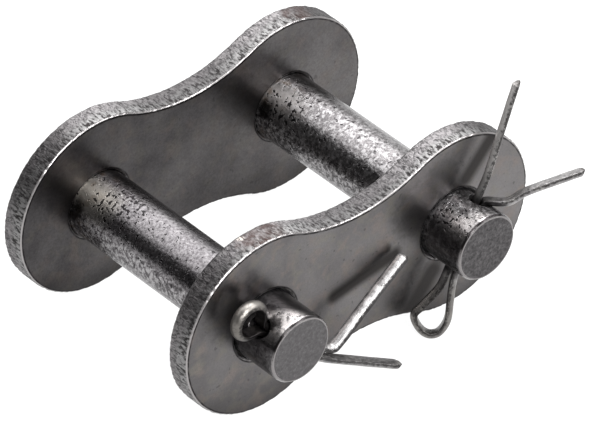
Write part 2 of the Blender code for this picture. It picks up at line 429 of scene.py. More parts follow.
def plate_face(tree, at, seen):
    cover = where(tree, (at.y, -15 * MM, -20 * MM))
    tinted = where(tree, (cover, 0.0, 1.0, 0.2, 0.5))
    # Painted light: the drift along X makes the faces lighter towards the right, over random clouds.
    drift = combine(tree, "ADD", where(tree, at.x, marks(LINK_DRIFT_MM)), seen.clouds)
    # Painted dark reflections and shade round the pins and the right cotter's eye, on both plates.
    painted_reflections_and_shade = all_of(
        tree, at.place, soft_spot,
        ((-21.4, COVER_Y_MM, 5.2), 6.0), ((9.8, COVER_Y_MM, 5.4), 5.6), ((14.2, COVER_Y_MM, 9.0), 4.0),
        ((11.5, COVER_Y_MM, -9.5), 7.5), ((-20.5, REAR_Y_MM, 4.5), 6.5), ((10.0, REAR_Y_MM, 5.0), 7.5))
    # Painted shadows and reflections of the wires, beside them on the cover.
    painted_wire_shadows = all_of(
        tree, at.place, soft_streak,
        ((23.0, COVER_Y_MM, 11.3), (18.2, COVER_Y_MM, 6.2), 2.2),
        ((6.0, COVER_Y_MM, 0.0), (-4.3, COVER_Y_MM, -1.6), 1.7),
        ((12.7, COVER_Y_MM, -6.2), (8.8, COVER_Y_MM, -10.8), 2.8))
    # Painted shade on the rear plate between the pins, behind the cover.
    painted_gap_shade = soft_spot(tree, at.place, (6.0, REAR_Y_MM, 1.2), 9.0)

    # The grey and its tints, then painted dark reflections and wire shadows, painted shade at the lower
    # edges and between the plates, and specks
    return lay(
        tree, "#454344",
        ("#646262", (drift, 0.30, 0.70)),
        ("#625f54", (seen.olive, 0.51, 0.67), tinted),
        ("#6b5f57", (seen.brown, 0.53, 0.69), tinted),
        (("#a19fa0", "SOFT_LIGHT"), (seen.grain, 0.32, 0.68)),
        (("#989595", "SCREEN"), (cover, 0.0, 1.0, 0.0, 0.2)),
        ("#1e1c1c", painted_reflections_and_shade, 0.32),
        ("#262322", painted_wire_shadows, 0.95),
        # Painted shade: darker towards the lower edges.
        ("#1e1c1c", (at.out, 8.5 * MM, 13 * MM, 0.0, 0.6), (at.z, -4 * MM, -9 * MM),
         (at.from_middle, 4 * MM, 10 * MM, 0.45, 1.0)),
        ("#1e1c1c", painted_gap_shade, 0.15),
        ("#2d2b2b", (seen.specks, 0.70, 0.76, 0.0, 0.4)))


# %% The blanked edge: sheared at the back, torn at the front
def plate_edge(tree, at, seen, torn):
    # Painted shade: the edge is darker on its shoulders and at its waist.
    shoulder = where(tree, (at.from_middle, 17 * MM, 22 * MM), (at.z, 3 * MM, 7.5 * MM, 0.0, 0.75))
    painted_edge_shade = combine(tree, "MAXIMUM", shoulder, (at.from_middle, 5 * MM, 11 * MM, 0.55, 0.0))
    rust = all_of(tree, at.place, soft_spot, ((-15.2, -34.0, 13.0), 4.6), ((19.5, -1.5, 12.6), 3.0))
    chipped = soft_spot(tree, at.place, (-17.7, -33.3, 13.1), 0.6)
    torn_steel = lay(tree, "#353333", ("#8f8e8e", (seen.tears, 0.41, 0.56)))

    # Sheared, torn, dirt in the deepest marks, painted shade on the shoulders and the waist, rust, and one
    # fresh chip
    return lay(
        tree, "#525051",
        ("#8b8889", (seen.worms, 0.39, 0.58)),
        (torn_steel, torn),
        ("#161516", (seen.worms, 0.31, 0.38, 0.6, 0.0)),
        ("#242223", painted_edge_shade),
        ("#413330", rust, (seen.scabs, 0.35, 0.6, 0.25, 0.8)),
        ("#b8b1ab", chipped, (seen.worms, 0.42, 0.5)))


# %% Blackened strip steel
def plate_finish():
    material, tree, shader = new_finish("blackened_strip_steel", 1.0)
    at = read_place(tree, "edge", "across")
    at.from_middle = add(tree, "ShaderNodeMath", {0: at.x}, operation="ABSOLUTE").outputs[0]
    seen = patterns(
        tree, at.place,
        clouds=(7.0, {"Detail": 3.0}),
        olive=(2.0, {}),
        brown=(2.6, {"Distortion": 0.5}),
        grain=(0.28, {"Roughness": 0.7}),
        specks=(0.8, {"Detail": 1.0}),
        tears=(0.36, {"Detail": 3.0, "Roughness": 0.6}, (1.0, 0.4, 1.0)),
        worms=(0.45, {"Detail": 2.5, "Roughness": 0.6, "Distortion": 1.5}, (1.0, 0.5, 1.0)),
        wander=(6.0, {"Detail": 1.0}),
        scabs=(1.3, {"Detail": 4.0, "Roughness": 0.65}),
        dust=(1.1, {"Detail": 3.0}))
    torn = where(tree, (combine(tree, "ADD", at.across, seen.wander), 0.85, 1.15, 1.0, 0.0))
    rubbed_and_highlit = where(tree, (at.edge, 0.5, 0.62), (at.edge, 0.86, 0.97, 1.0, 0.0))
    blanked = where(tree, (at.edge, 0.9, 1.0))
    surface = lay(
        tree, plate_face(tree, at, seen),
        (plate_edge(tree, at, seen, torn), (at.edge, 0.86, 0.99)),
        # The bright line on the rounding: worn bare metal with a painted highlight.
        ("#989595", rubbed_and_highlit),
        # A dark line beside it, of dirt and painted shade.
        ("#201e1f", (at.edge, 0.04, 0.2), (at.edge, 0.42, 0.56, 1.0, 0.0),
         (seen.dust, 0.35, 0.55, 0.5, 1.0)))

    # Satin on the faces, rough where it was blanked, smoother on the worn bright line
    satin = where(tree, (seen.clouds, 0.3, 0.7, 0.29, 0.37))
    roughness = lay(tree, satin, (0.60, blanked), (0.34, rubbed_and_highlit), kind="FLOAT")
    relief = where(tree, lay(tree, seen.worms, (seen.tears, torn), kind="FLOAT"), blanked)
    close_finish(tree, shader, surface, roughness, (seen.grain, 0.12, 0.06), (relief, 0.7, 0.25))
    return material


plate_steel = plate_finish()
print("finish:", plate_steel.name)

# %% [markdown]
# ## The plates
#
# A plate could be an extruded outline with a Bevel modifier. Sweeping the section of the
# edge along the outline and the holes gives more: rows of small faces across the edge,
# which can be pitted for real, and a value on each corner that says how far out on the
# edge it lies. The finish reads that value. The two flats are filled between the sweeps.

# %% The section of the edge: rounded, cut into short steps, with its values
SECTION_STEP = 0.1 * MM
ROUNDING_STEPS = 8
EDGE_LEAD = 0.15 * MM


def edge_section(tree, given, profile):
    section = add(tree, "GeometryNodeObjectInfo", {"Object": profile}).outputs["Geometry"]
    section = add(tree, "GeometryNodeFilletCurve", {
        "Curve": section, "Count": ROUNDING_STEPS, "Radius": given["Edge Round"]}, mode="POLY").outputs[0]
    section = add(tree, "GeometryNodeResampleCurve", {
        "Curve": section, "Length": SECTION_STEP}, mode="LENGTH").outputs[0]
    corner = read_corners(tree)
    start = combine(tree, "SUBTRACT", -EDGE_LEAD, given["Edge Round"])
    edge = where(tree, (corner["X"], start, 0.0))
    across = combine(tree, "DIVIDE", corner["Y"], given["Thickness"])
    return write_on(tree, section, edge=edge, across=combine(tree, "ADD", across, 0.5))


# %% Pits: only the edge has them, and they only go inwards
PIT_SIZE_MM = 0.8


def pitted(tree, given, swept):
    place = add(tree, "GeometryNodeInputPosition").outputs[0]
    drawn_out = add(tree, "ShaderNodeVectorMath", {0: place, 1: (1.0, 1.0, 0.45)}, operation="MULTIPLY")
    lumps = add(tree, "ShaderNodeTexNoise", {
        "Vector": drawn_out.outputs[0], "Scale": marks(PIT_SIZE_MM), "Detail": 3.0}).outputs[0]
    on_band = add(tree, "GeometryNodeInputNamedAttribute", {"Name": "edge"}).outputs[0]
    return push_out(tree, swept, where(tree, (lumps, 0.4, 0.65), on_band, given["Pit Depth"], -1.0))


# %% The flats: the same lines, drawn in by the rounding and the border
def flat_faces(tree, given, outline):
    inset = where(tree, combine(tree, "ADD", given["Edge Round"], given["Border"]), -1.0)
    filled = add(tree, "GeometryNodeFillCurve", {"Curve": push_out(tree, outline, inset)}, mode="TRIANGLES")
    filled = add(tree, "GeometryNodeSetShadeSmooth", {"Geometry": filled.outputs[0], "Shade Smooth": False})
    flats = []
    for side in (0.5, -0.5):
        lift = add(tree, "ShaderNodeCombineXYZ", {"Z": where(tree, given["Thickness"], side)}).outputs[0]
        flats.append(add(tree, "GeometryNodeTransform", {
            "Geometry": filled.outputs[0], "Translation": lift}).outputs[0])
    upper, lower = flats
    return add(tree, "GeometryNodeFlipFaces", {"Mesh": lower}).outputs[0], upper


# %% A tree that blanks a plate from its outline
def blanking_tree(profile):
    tree, given = shape_tree("blank a plate", {
        "Thickness": "Float", "Edge Round": "Float", "Border": "Float", "Stride": "Float",
        "Pit Depth": "Float"})
    flat = add(tree, "GeometryNodeSetCurveNormal", {"Curve": given["Geometry"]}, mode="Z_UP").outputs[0]
    outline = add(tree, "GeometryNodeResampleCurve", {
        "Curve": flat, "Length": given["Stride"]}, mode="LENGTH").outputs[0]
    section = edge_section(tree, given, profile)
    swept = add(tree, "GeometryNodeCurveToMesh", {"Curve": outline, "Profile Curve": section}).outputs[0]
    swept = add(tree, "GeometryNodeSetShadeSmooth", {
        "Geometry": pitted(tree, given, swept), "Shade Smooth": True}).outputs[0]
    join = add(tree, "GeometryNodeJoinGeometry")
    for part in (*flat_faces(tree, given, outline), swept):
        tree.links.new(part, join.inputs[0])
    whole = add(tree, "GeometryNodeMergeByDistance", {"Geometry": join.outputs[0], "Distance": WELD})
    close_tree(tree, whole.outputs[0], plate_steel)
    return tree


# %% Blank both plates
FACE_BORDER = 0.4 * MM
OUTLINE_STRIDE = 0.15 * MM
PIT_DEPTH = 0.09 * MM
half_thickness = PLATE_THICKNESS / 2
tab = PLATE_EDGE_ROUND + FACE_BORDER
edge_profile = draw("edge_section", [[
    (-tab, -half_thickness, 0), (0, -half_thickness, 0),
    (0, half_thickness, 0), (-tab, half_thickness, 0)]], False)
blanking = blanking_tree(edge_profile)


def make_plate(name, middle_y, clearance):
    lines = draw(name + "_lines", plate_lines(PIN_RADIUS + clearance), True)
    lines.matrix_world = Matrix.Translation((0, middle_y, 0)) @ Matrix.Rotation(math.pi / 2, 4, "X")
    return run_tree(name, lines, blanking, {
        "Thickness": PLATE_THICKNESS, "Edge Round": PLATE_EDGE_ROUND, "Border": FACE_BORDER,
        "Stride": OUTLINE_STRIDE, "Pit Depth": PIT_DEPTH})


rear_skin = make_plate("rear_plate_skin", rear_high.y - half_thickness, PRESS_CLEARANCE / 4)
cover_skin = make_plate("cover_plate_skin", cover_low.y + half_thickness, SLIP_CLEARANCE)

# %% [markdown]
# ## The finish of the pins
#
# The pins are hardened bar, ground while they turn, so the finest lines run round them. A
# highlight is drawn out across such lines: it becomes a band along the pin. These lines
# are too fine to draw, so an anisotropic shader stretches the highlight, with its tangent
# along the pin. Rings are drawn too, 0.3 mm apart and so coarser than they are, as a
# pattern that changes along Y only.
#
# Over that gloss the eye finds blotches and black pits, more of them near the roots and on
# the right stub. The press fit has left a polish on the roots, heat has tinted them straw
# and brown, and their lower left side carries a painted highlight. Their upper right side
# is darkened as a painted reflection, and painted shade lies where the pins meet the plate
# and under the left eye. The stubs beyond the cover plate are darker with oil and a painted
# dark reflection, and their end is worn bright and carries a painted highlight. The end
# itself was cropped: it is dull, with a pale rim, and painted shade draws a dark line on the
# upper side of its chamfer. The cross hole is dark with grease and painted shade.


# %% The shank: ground steel, its blotches, and the stub beyond the cover
WEAR_AND_HIGHLIGHT_SLANT = 0.83


def pin_shank(tree, at, seen, left, below, stub):
    underside = where(tree, (below, 2.0 * MM, 2.8 * MM))
    upper = where(tree, (at.z, 2.2 * MM, 3.8 * MM))
    shielded = where(tree, upper, (left, 0.0, 1.0, 0.5, 0.0))
    wear_and_highlight = combine(tree, "ADD", where(tree, at.right_of, WEAR_AND_HIGHLIGHT_SLANT), at.y)
    wear_and_highlight = combine(tree, "SUBTRACT", wear_and_highlight, where(tree, left, 1.2 * MM))
    turned_away = where(tree, (at.right_of, 0.5 * MM, 2.5 * MM, 0.0, 0.9), left)

    # Grain of dull and clean steel, clouds, bright and dark blotches, oil and a painted dark reflection on
    # the stub, and its worn end with a painted highlight
    return lay(
        tree, lay(tree, "#4c4a4b", ("#464345", left)),
        (lay(tree, "#7b7879", ("#767375", left)), (seen.grain, 0.36, 0.64)),
        ("#4a4849", (seen.clouds, 0.5, 0.7, 0.0, 0.4)),
        ("#9c9a9b", (seen.blotches, 0.47, 0.60),
         combine(tree, "MAXIMUM", (left, 0.0, 1.0, 0.8, 0.2), underside)),
        ("#2a2829", (seen.blotches, 0.42, 0.48, 0.6, 0.0), underside),
        # Oil and a painted dark reflection darken the stub, less on the right stub's upper side.
        ("#343233", stub, (shielded, 0.0, 0.5, 0.8, 0.15)),
        # The stub's end is worn bright, with a painted highlight, kept off the side turned away.
        ("#b0acab", (wear_and_highlight, -40.8 * MM, -42.4 * MM), upper, (turned_away, 0.0, 1.0, 1.0, 0.0),
         (seen.blotches, 0.38, 0.5, 0.35, 1.0), (left, 0.0, 1.0, 0.55, 1.0)))


# %% The root: its press-fit polish with a painted highlight, tinted by heat, a painted dark reflection above, painted shade at the foot, and pitted
def pin_root(tree, at, seen, steel, left, below, polished_and_highlit, pits):
    painted_contact_shade = all_of(
        tree, at.place, soft_spot,
        ((11.6, -4.6, 2.0), 1.9), ((-20.2, -4.2, 1.4), 2.3), ((-18.4, -40.3, 4.2), 1.7))
    return lay(
        tree, steel,
        # The press-fit polish, with a painted highlight on the lower left side.
        (lay(tree, "#a5a19f", ("#b4afa6", left)), polished_and_highlit),
        ("#6b5744", (at.y, -8 * MM, -4 * MM), (seen.heat, 0.52, 0.64, 0.0, 0.5)),
        # Painted dark reflection on the upper right side by the root.
        ("#2c2828", (at.y, -17 * MM, -7 * MM), (below, -2.4 * MM, -4.3 * MM, 0.0, 0.85)),
        # Painted shade where the pins meet the rear plate and under the left eye.
        ("#141212", painted_contact_shade, 0.9),
        ("#1c1a1b", pits))


# %% The cropped end, its chamfer, and grease and painted shade in the cross hole
def pin_end(tree, at, seen, steel, left, end, hole_grease_and_shade):
    cropped = lay(
        tree, "#383637", ("#5b595a", (seen.crop, 0.38, 0.62)), ("#6a6869", (left, 0.0, 1.0, 0.0, 0.35)))
    return lay(
        tree, steel,
        ("#827f7f", (end, 0.05, 0.25), (end, 0.72, 0.85, 1.0, 0.0)),
        # A dark line of painted shade on the upper side of the chamfer.
        ("#2a2728", (end, 0.02, 0.1), (end, 0.46, 0.38, 0.0, 0.85), (at.z, 0.0, 2 * MM)),
        # Grease and painted shade inside the cross hole.
        ("#141213", hole_grease_and_shade),
        (cropped, (end, 0.85, 0.95)))


# %% Ground and pitted pin steel
PIN_MIDDLE_Y = -20.7 * MM
LOWER_LEFT_X, LOWER_LEFT_Z = -0.764, -0.646


def pin_finish():
    material, tree, shader = new_finish("ground_pin_steel", 0.94)
    shader.inputs["Anisotropic"].default_value = 0.8
    along_pin = add(tree, "ShaderNodeCombineXYZ", {"Y": 1.0, "Z": 0.02}).outputs[0]
    tree.links.new(along_pin, shader.inputs["Tangent"])
    at = read_place(tree, "end")
    seen = patterns(
        tree, at.place,
        clouds=(3.0, {"Detail": 3.0}),
        rings=(0.3, {"Detail": 3.0, "Roughness": 0.6}, (0.04, 1.0, 0.04)),
        grain=(0.36, {"Roughness": 0.7}),
        blotches=(0.62, {"Detail": 3.0, "Roughness": 0.7, "Distortion": 0.2}),
        pits=(0.5, {"Detail": 1.0, "Distortion": 0.3}),
        heat=(1.6, {"Detail": 3.0}),
        crop=(0.5, {"Detail": 3.0, "Roughness": 0.8}))

    # Where it is: which pin, how far down to the left, on the stub, near an end, in the hole
    left = where(tree, (at.x, 6 * MM, -6 * MM))
    below = combine(
        tree, "ADD", where(tree, at.right_of, LOWER_LEFT_X), where(tree, at.z, LOWER_LEFT_Z))
    stub = where(tree, (at.y, -35 * MM, -37 * MM))
    off_middle = combine(tree, "SUBTRACT", at.y, PIN_MIDDLE_Y)
    off_middle = add(tree, "ShaderNodeMath", {0: off_middle}, operation="ABSOLUTE").outputs[0]
    at_end = where(tree, (off_middle, 20.9 * MM, 21.4 * MM))
    end = where(tree, at.end, at_end)
    hole_grease_and_shade = where(
        tree, (at.out, PIN_RADIUS - 0.005 * MM, PIN_RADIUS - 0.04 * MM), (at_end, 0.0, 0.5, 0.95, 0.0))

    # The root's polish, with its painted highlight, and the pits change colour and surface alike
    polished_and_highlit = where(
        tree, (at.y, -11 * MM, -6.5 * MM, 0.0, 0.72), (at.y, 0.4 * MM, 0.0),
        (below, 2.8 * MM, 0.6 * MM), (below, -3.2 * MM, -1.2 * MM))
    worn = all_of(
        tree, at.place, soft_spot,
        ((-17.4, -9.8, 4.4), 5.5), ((12.3, -7.5, 3.2), 4.2), ((13.0, -38.0, 4.0), 2.4))
    pits = where(tree, (combine(tree, "ADD", seen.pits, where(tree, worn, 0.10)), 0.655, 0.69, 0.0, 0.95))

    steel = pin_shank(tree, at, seen, left, below, stub)
    steel = pin_root(tree, at, seen, steel, left, below, polished_and_highlit, pits)
    steel = pin_end(tree, at, seen, steel, left, end, hole_grease_and_shade)
    gloss = where(tree, (seen.blotches, 0.35, 0.65, 0.19, 0.27))
    gloss = lay(tree, gloss, (0.42, polished_and_highlit), (0.8, hole_grease_and_shade), (0.42, (end, 0.85, 0.95)), kind="FLOAT")
    uneven = where(tree, seen.blotches, (stub, 0.0, 1.0, 1.0, 0.35))
    close_finish(
        tree, shader, steel, gloss, (seen.rings, 0.06, 0.05), (uneven, 0.28, 0.2), (pits, 0.4, -0.12))
    return material


pin_steel = pin_finish()
print("finish:", pin_steel.name)

# %% [markdown]
# ## The pins
#
# A pin is a turned shape, so its section is swept round a circle. The corner values say
# which part is the cropped end. The same recipe turns the drill that cuts the cross hole.

# %% A tree that turns a section round a circle
END_BAND = 0.48 * MM


def turning_tree(profile, name):
    tree, given = shape_tree(name, {"Radius": "Float", "Steps": "Int", "Stride": "Float"})
    circle = add(tree, "GeometryNodeCurvePrimitiveCircle", {
        "Resolution": given["Steps"], "Radius": given["Radius"]}).outputs["Curve"]
    circle = add(tree, "GeometryNodeSetCurveNormal", {"Curve": circle}, mode="Z_UP").outputs[0]
    section = add(tree, "GeometryNodeObjectInfo", {"Object": profile}).outputs["Geometry"]
    section = add(tree, "GeometryNodeResampleCurve", {
        "Curve": section, "Length": given["Stride"]}, mode="LENGTH").outputs[0]
    section = write_on(tree, section, end=where(tree, (read_corners(tree)["X"], 0.0, -END_BAND)))
    swept = add(tree, "GeometryNodeCurveToMesh", {"Curve": circle, "Profile Curve": section}).outputs[0]
    whole = add(tree, "GeometryNodeMergeByDistance", {"Geometry": swept, "Distance": WELD})
    close_tree(tree, whole.outputs[0], pin_steel)
    return tree


# %% The pin's section: how far outside the shank's surface, and how far along
PIN_CHAMFER = 0.22 * MM
PIN_CHAMFER_LENGTH = 0.35 * MM
HEAD_FLARE = 0.45 * MM
HEAD_HEIGHT = 1.3 * MM
STAKE_RADIUS = 2.2 * MM
STAKE_DEPTH = 0.5 * MM
head_seat = PRESS_CLEARANCE
head_end = head_seat + HEAD_HEIGHT
pin_section = [
    (-PIN_RADIUS, PIN_END_Y),
    (-PIN_CHAMFER, PIN_END_Y),
    (0, PIN_END_Y + PIN_CHAMFER_LENGTH),
    (0, 0),
    (HEAD_FLARE, head_seat + HEAD_FLARE / 2),
    (HEAD_FLARE, head_end - HEAD_FLARE),
    (0, head_end),
    (STAKE_RADIUS - PIN_RADIUS, head_end),
    (STAKE_RADIUS - STAKE_DEPTH - PIN_RADIUS, head_end - STAKE_DEPTH),
    (-PIN_RADIUS, head_end - STAKE_DEPTH),
]
pin_profile = draw("pin_section", [[(out, y, 0) for out, y in pin_section]], False)
turning = turning_tree(pin_profile, "turn a pin")
print(f"pin section of {len(pin_section)} corners, head {HEAD_HEIGHT / MM:.1f} mm high")

# %% The drill that makes the cross holes
DRILL_CLEARANCE = 0.25 * MM
HOLE_RADIUS = DRILL_CLEARANCE + max(
    LEG_CLEARANCE / 2 + WIRE_THICKNESS, math.hypot(WIRE_WIDTH, LEG_CLEARANCE) / 2)
HOLE_FLARE = 0.45 * MM
drill_section = [
    (-HOLE_RADIUS, -PIN_RADIUS - HOLE_FLARE),
    (2 * HOLE_FLARE, -PIN_RADIUS - HOLE_FLARE),
    (0, -PIN_RADIUS + HOLE_FLARE),
    (0, PIN_RADIUS - HOLE_FLARE),
    (2 * HOLE_FLARE, PIN_RADIUS + HOLE_FLARE),
    (-HOLE_RADIUS, PIN_RADIUS + HOLE_FLARE),
]
drill_profile = draw("drill_section", [[(out, y, 0) for out, y in drill_section]], False)
drilling = turning_tree(drill_profile, "turn a drill")
print(f"cross holes of {2 * HOLE_RADIUS / MM:.2f} mm")


# %% Turn and drill both pins
PIN_STEPS, PIN_STRIDE = 200, 0.16 * MM
DRILL_STEPS, DRILL_STRIDE = 48, 0.3 * MM


def shank_place(x, angle, turn):
    """Place of a cotter: X runs along its shank, Y from one leg to the other, Z across the wire."""
    along = Vector((math.cos(angle), 0, math.sin(angle)))
    across = Vector((-math.sin(angle), 0, math.cos(angle)))
    apart = across * math.cos(turn) + Vector((0, -1, 0)) * math.sin(turn)
    axes = Matrix((along, apart, along.cross(apart))).transposed().to_4x4()
    return Matrix.Translation((x, COTTER_Y, 0)) @ axes


def turn(name, place, tree, radius, steps, stride):
    axis = draw(name + "_axis", [[(0, 0, 0), (0, 0, MM)]], False)
    axis.matrix_world = place
    return run_tree(name, axis, tree, {"Radius": radius, "Steps": steps, "Stride": stride})


def make_pin(name, x, hole_angle):
    upright = Matrix.Translation((x, 0, 0)) @ Matrix.Rotation(math.pi / 2, 4, "X")
    pin = turn(name, upright, turning, PIN_RADIUS, PIN_STEPS, PIN_STRIDE)
    across = shank_place(x, hole_angle, 0) @ Matrix.Rotation(math.pi / 2, 4, "Y")
    drill = turn(name + "_drill", across, drilling, HOLE_RADIUS, DRILL_STEPS, DRILL_STRIDE)
    cut = pin.modifiers.new("Cross hole", "BOOLEAN")
    cut.operation = "DIFFERENCE"
    cut.solver = "EXACT"
    cut.object = drill
    graph = bpy.context.evaluated_depsgraph_get()
    drilled = bpy.data.meshes.new_from_object(pin.evaluated_get(graph))
    pin.modifiers.clear()
    pin.data = drilled
    smooth_under(pin, 30)
    bpy.data.objects.remove(drill, do_unlink=True)
    return pin


left_pin = make_pin("left_pin_skin", -PITCH / 2, LEFT_HOLE_ANGLE)
right_pin = make_pin("right_pin_skin", PITCH / 2, RIGHT_HOLE_ANGLE)

# %% [markdown]
# ## The finish of the wire
#
# Split cotters are folded from bright wire, drawn through a half-round die. To the eye the
# round back is the brightest steel on the link, and the two corners beside its flat are
# darkened with painted shade. Bending by hand leaves small dents that catch the light.
#
# The upright leg of the right cotter and the left cotter's long leg are lighter, which is a
# painted highlight, and the long leg's corners carry more painted shade. The wire that lies
# low or far to the left is darker and browner, as painted shade, and painted shade also
# darkens it where it enters a pin and inside the left eye. The cut ends are rough and dark.

# %% Drawn half-round wire
EYE_BEYOND_MM = 2.6
EYE_ASIDE_MM = 0.3
EYE_RADIUS_MM = 1.9
UPRIGHT_HIGHLIGHT_SLANT = -0.53


def wire_finish():
    material, tree, shader = new_finish("drawn_half_round_wire", 0.85)
    at = read_place(tree, "corner", "cut")
    seen = patterns(
        tree, at.place,
        dents=(1.2, {"Detail": 3.0, "Roughness": 0.6}),
        nicks=(0.45, {"Detail": 2.5, "Roughness": 0.7, "Distortion": 0.6}))
    long_leg = where(
        tree, (at.x, 9 * MM, 7 * MM), (at.x, -13 * MM, -9 * MM), (at.z, -7.5 * MM, -3 * MM))
    slanting = combine(tree, "ADD", where(tree, at.z, UPRIGHT_HIGHLIGHT_SLANT), at.x)
    low_leg = where(tree, (at.z, -4 * MM, -7 * MM, 0.0, 0.5), (at.x, 4 * MM, 6 * MM))
    painted_wire_shade = combine(tree, "MAXIMUM", low_leg, (at.x, -17.5 * MM, -19.5 * MM, 0.0, 0.7))

    # Painted shade inside the left eye, and round the pins, where it reaches further out by that eye
    eye = shank_place(-PITCH / 2, LEFT_HOLE_ANGLE, 0) @ Vector((
        -PIN_RADIUS - EYE_BEYOND_MM * MM, EYE_ASIDE_MM * MM, 0))
    eye.y = 0.0
    seen_flat = add(tree, "ShaderNodeVectorMath", {0: at.place, 1: (1.0, 0.0, 1.0)}, operation="MULTIPLY")
    off_eye = add(tree, "ShaderNodeVectorMath", {0: seen_flat.outputs[0], 1: eye}, operation="DISTANCE")
    in_eye = (off_eye.outputs["Value"], 1.98 * MM, 1.90 * MM, 0.0, 0.85)
    off_pin = combine(tree, "SUBTRACT", at.out, (at.x, -16 * MM, -17 * MM, 0.0, 1.8 * MM))

    corner = combine(
        tree, "ADD", at.corner, (seen.nicks, 0.3, 0.7, -0.1, 0.1), where(tree, long_leg, 0.12))
    wire = lay(
        # The long leg is lighter: a painted highlight.
        tree, lay(tree, "#7a7879", ("#838181", long_leg)),
        (lay(tree, "#959392", ("#b0aeae", long_leg)), (seen.dents, 0.40, 0.60)),
        # Painted highlight on the upright leg of the right cotter.
        ("#c6c3c1", (at.z, 5 * MM, 9 * MM, 0.0, 0.9), (slanting, 20 * MM, 18 * MM)),
        # Painted shade on the wire that lies low or far to the left.
        ("#524d45", painted_wire_shade),
        # Painted shade inside the left eye and where the wire enters a pin.
        ("#1a1718", in_eye),
        ("#1a1718", (off_pin, PIN_RADIUS + 1.5 * MM, PIN_RADIUS + 0.3 * MM, 0.0, 0.85)),
        ("#3b3938", (seen.nicks, 0.6, 0.7, 0.0, 0.6)),
        # Painted shade along the corners beside the flat, wider on the long leg.
        ("#1d1b1b", (corner, 0.82, 0.97, 0.0, 0.85)),
        ("#363231", (at.cut, 0.3, 1.0, 0.0, 0.8)))
    satin = where(tree, (seen.dents, 0.3, 0.7, 0.30, 0.44))
    satin = lay(tree, satin, (0.85, (at.cut, 0.2, 0.6)), kind="FLOAT")
    close_finish(tree, shader, wire, satin, (seen.dents, 0.22, 0.3), (seen.nicks, 0.25, 0.1))
    return material


cotter_wire = wire_finish()
print("finish:", cotter_wire.name)

# %% [markdown]
# ## The cotters
#
# Each cotter is one length of wire: out of the long leg, through the pin, round the eye
# and back to the short leg. Its route is a list of bends, joined by a smooth curve, and a
# tree sweeps the half-round section along it with its flat towards the other strand.

# %% The bends, in millimetres: beyond the pin's surface, to the side, across the wire
LEFT_LONG_LEG = [
    (0.7, 0.0, 0.0), (3.2, 0.1, 0.2), (5.1, 0.6, 0.6), (6.0, 2.2, 0.6), (8.6, 8.4, -0.4), (11.5, 15.2, -1.4)]
LEFT_SHORT_LEG = [(0.7, 0.0, 0.1), (3.4, -0.1, 1.0), (9.0, 1.5, 2.5), (15.0, 3.35, 4.1)]
RIGHT_LONG_LEG = [(0.7, 0.0, 0.0), (4.0, 0.0, 0.1), (9.5, 0.5, 0.1), (16.8, 1.1, 0.1)]
RIGHT_SHORT_LEG = [
    (0.5, -0.4, 0.0), (1.05, -2.1, 0.0), (1.6, -3.2, -0.1), (3.3, -4.7, -0.6), (5.6, -7.75, -1.7),
    (7.85, -11.1, -3.3)]
RIGHT_EYE = [
    (0.4, 0.1, 0.0), (3.2, 0.25, 0.1), (6.4, 1.5, 0.4), (7.6, 1.95, 0.5), (8.5, 1.2, 0.7), (9.0, 0.2, 0.8),
    (8.9, -0.6, 0.8), (8.3, -1.2, 0.7), (6.8, -1.45, 0.5), (4.5, -0.9, 0.3), (2.3, -0.35, 0.1),
    (0.4, -0.1, 0.0)]

# The left eye is a circle, left open towards the pin
LEFT_EYE = [
    (EYE_BEYOND_MM - EYE_RADIUS_MM * math.cos(math.radians(t)),
     EYE_ASIDE_MM + EYE_RADIUS_MM * math.sin(math.radians(t)), 0.0) for t in range(40, 321, 28)]
print("bends round the eyes:", len(LEFT_EYE), "and", len(RIGHT_EYE))

# %% A smooth route through the bends
STRAIGHT_STOPS_SHORT = 0.3 * MM
ROUTE_STRIDE = 0.14 * MM


def smooth_path(points, stride):
    ends = [2 * points[0] - points[1]] + points + [2 * points[-1] - points[-2]]
    path = [points[0]]
    for before, start, end, after in zip(ends, ends[1:], ends[2:], ends[3:]):
        count = max(1, round((end - start).length / stride))
        for i in range(1, count + 1):
            t = i / count
            cubic = (3 * (start - end) + after - before) * t ** 3
            square = (2 * before - 5 * start + 4 * end - after) * t ** 2
            path.append(start + ((end - before) * t + square + cubic) / 2)
    return path


def bend_point(bend, end, strand):
    beyond, side, across = bend
    return Vector((
        end * (PIN_RADIUS + beyond * MM), strand * LEG_CLEARANCE / 2 + side * MM, across * MM))


def cotter_path(long_leg, eye, short_leg):
    reach = PIN_RADIUS - STRAIGHT_STOPS_SHORT
    half_gap = LEG_CLEARANCE / 2
    points = [bend_point(bend, 1, 1) for bend in reversed(long_leg)]
    points += [Vector((reach * step, half_gap, 0)) for step in (1, 0, -1)]
    points += [bend_point(bend, -1, 0) for bend in eye]
    points += [Vector((reach * step, -half_gap, 0)) for step in (-1, 0, 1)]
    points += [bend_point(bend, 1, -1) for bend in short_leg]
    return smooth_path(points, ROUTE_STRIDE)


